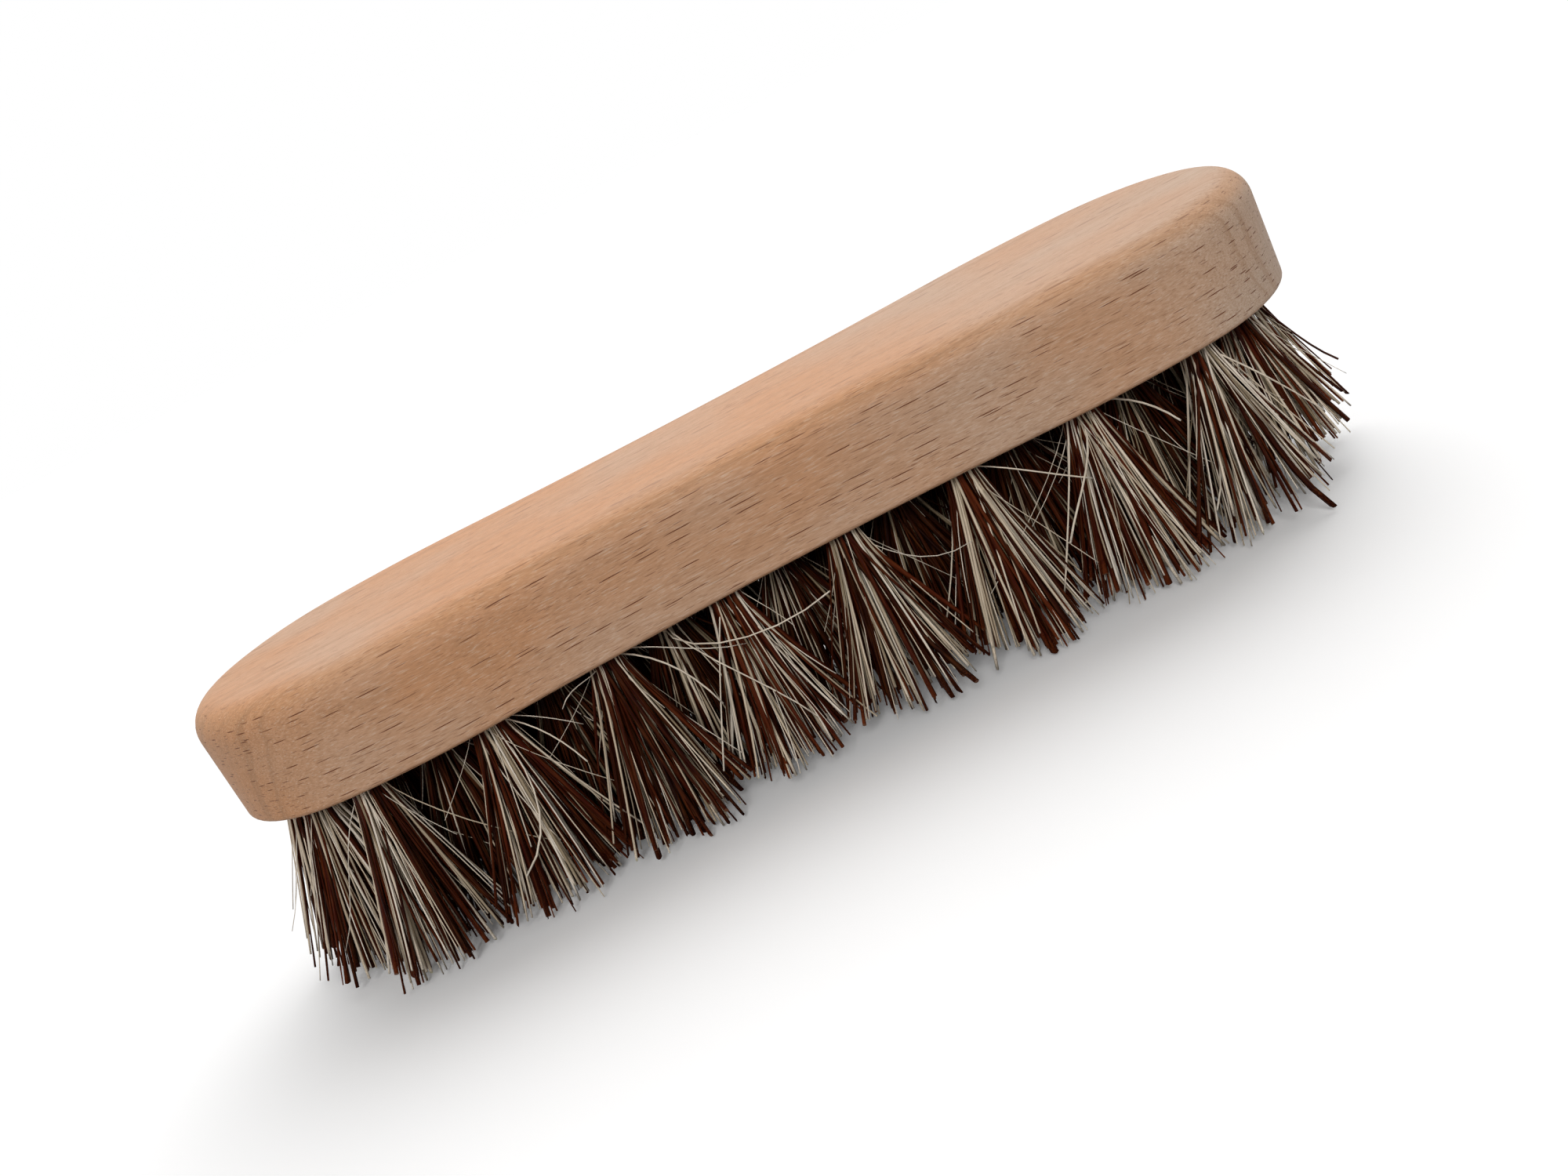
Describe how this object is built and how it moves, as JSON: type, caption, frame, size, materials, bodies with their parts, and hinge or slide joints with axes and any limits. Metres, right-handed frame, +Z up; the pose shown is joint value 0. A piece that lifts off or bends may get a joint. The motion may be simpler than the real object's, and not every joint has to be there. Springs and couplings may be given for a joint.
{
  "type": "scrub brush",
  "caption": "Hand scrub brush: a waisted wooden block with rounded ends and upper edge, and splayed tufts of stiff mixed plant fibre stapled into holes bored in its underside.",
  "frame": {"origin": "under the middle of the block, in the plane of the cut fibre tips that the brush stands on", "axes": "+X along the block's length, +Y across it, +Z up from the fibre tips to the block's flat upper face"},
  "size_m": [0.2114, 0.06, 0.0546],
  "materials": {
    "beech": "bare sanded beech, fine straight grain with short dark flecks",
    "union_fibre": "stiff plant fibre, cream and dark red-brown strands mixed, cut ends",
    "anchor_wire": "plain drawn flat wire"
  },
  "bodies": {
    "root": {"block": "beech", "tuft_near_edge_1": "union_fibre", "tuft_near_edge_2": "union_fibre", "tuft_near_edge_3": "union_fibre", "tuft_near_edge_4": "union_fibre", "tuft_near_edge_5": "union_fibre", "tuft_near_edge_6": "union_fibre", "tuft_near_edge_7": "union_fibre", "tuft_near_edge_8": "union_fibre", "tuft_near_inner_1": "union_fibre", "tuft_near_inner_2": "union_fibre", "tuft_near_inner_3": "union_fibre", "tuft_near_inner_4": "union_fibre", "tuft_near_inner_5": "union_fibre", "tuft_near_inner_6": "union_fibre", "tuft_near_inner_7": "union_fibre", "tuft_near_inner_8": "union_fibre", "tuft_near_inner_9": "union_fibre", "tuft_middle_1": "union_fibre", "tuft_middle_2": "union_fibre", "tuft_middle_3": "union_fibre", "tuft_middle_4": "union_fibre", "tuft_middle_5": "union_fibre", "tuft_middle_6": "union_fibre", "tuft_middle_7": "union_fibre", "tuft_middle_8": "union_fibre", "tuft_middle_9": "union_fibre", "tuft_middle_10": "union_fibre", "tuft_far_inner_1": "union_fibre", "tuft_far_inner_2": "union_fibre", "tuft_far_inner_3": "union_fibre", "tuft_far_inner_4": "union_fibre", "tuft_far_inner_5": "union_fibre", "tuft_far_inner_6": "union_fibre", "tuft_far_inner_7": "union_fibre", "tuft_far_inner_8": "union_fibre", "tuft_far_inner_9": "union_fibre", "tuft_far_edge_1": "union_fibre", "tuft_far_edge_2": "union_fibre", "tuft_far_edge_3": "union_fibre", "tuft_far_edge_4": "union_fibre", "tuft_far_edge_5": "union_fibre", "tuft_far_edge_6": "union_fibre", "tuft_far_edge_7": "union_fibre", "tuft_far_edge_8": "union_fibre", "anchors_near_edge": "anchor_wire", "anchors_near_inner": "anchor_wire", "anchors_middle": "anchor_wire", "anchors_far_inner": "anchor_wire", "anchors_far_edge": "anchor_wire"}
  },
  "joints": []
}
